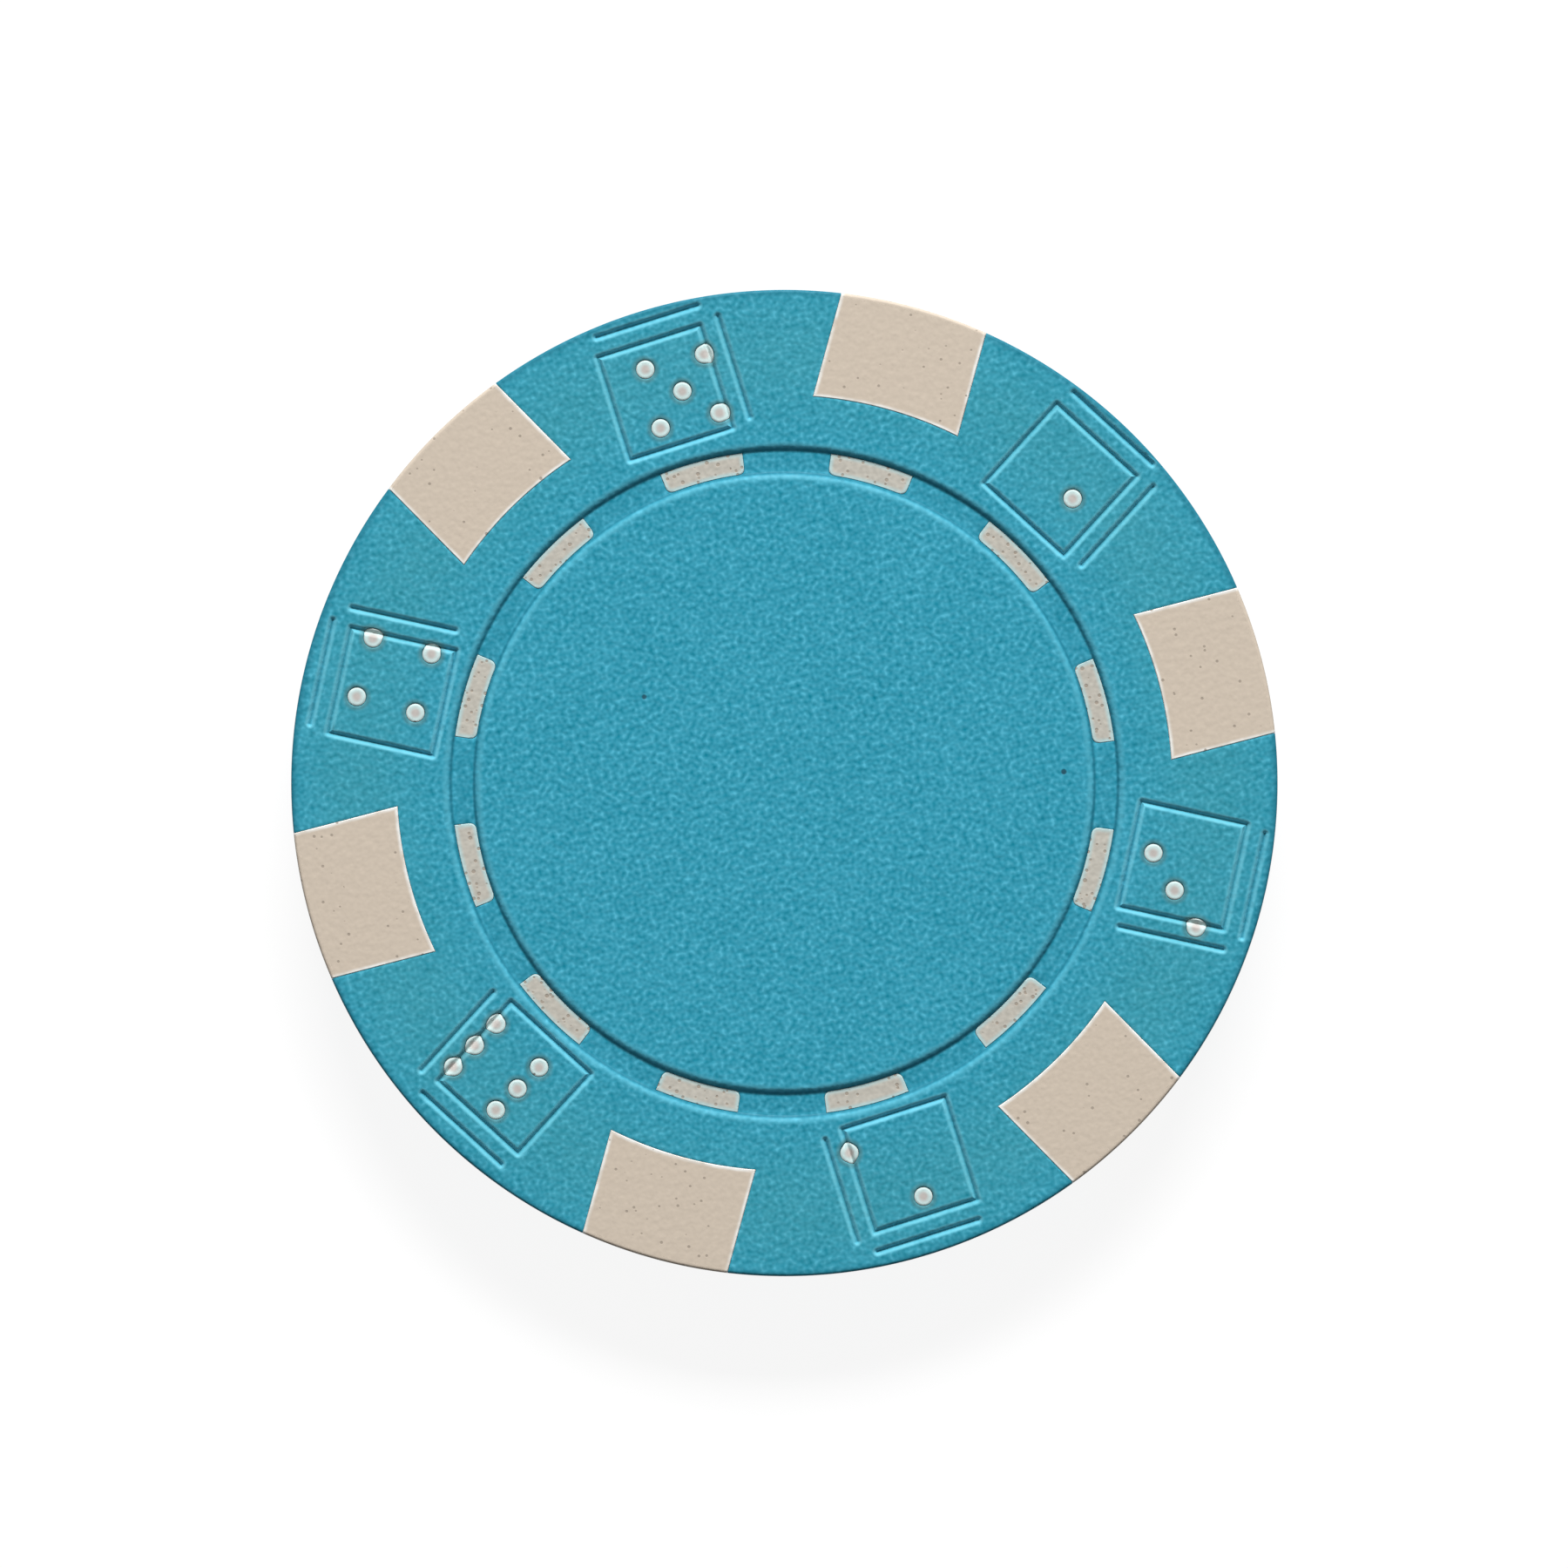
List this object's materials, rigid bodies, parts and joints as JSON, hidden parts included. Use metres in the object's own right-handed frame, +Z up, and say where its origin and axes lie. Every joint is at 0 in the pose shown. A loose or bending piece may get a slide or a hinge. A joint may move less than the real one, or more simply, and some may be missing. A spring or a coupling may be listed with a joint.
{
  "type": "poker chip",
  "caption": "Round moulded poker chip with ivory edge spots, a dashed ring groove and engraved dice around each face, weighted by a steel slug inside.",
  "frame": {"origin": "middle of the chip's lower face", "axes": "+Z up through the thickness of the chip, +X through the middle of an edge spot"},
  "size_m": [0.039, 0.039, 0.0033],
  "materials": {
    "blue_plastic": "satin",
    "ivory_plastic": "satin",
    "slug_steel": "satin"
  },
  "bodies": {
    "root": {"body": "blue_plastic", "insert_core": "ivory_plastic", "weight_slug": "slug_steel"}
  },
  "joints": []
}
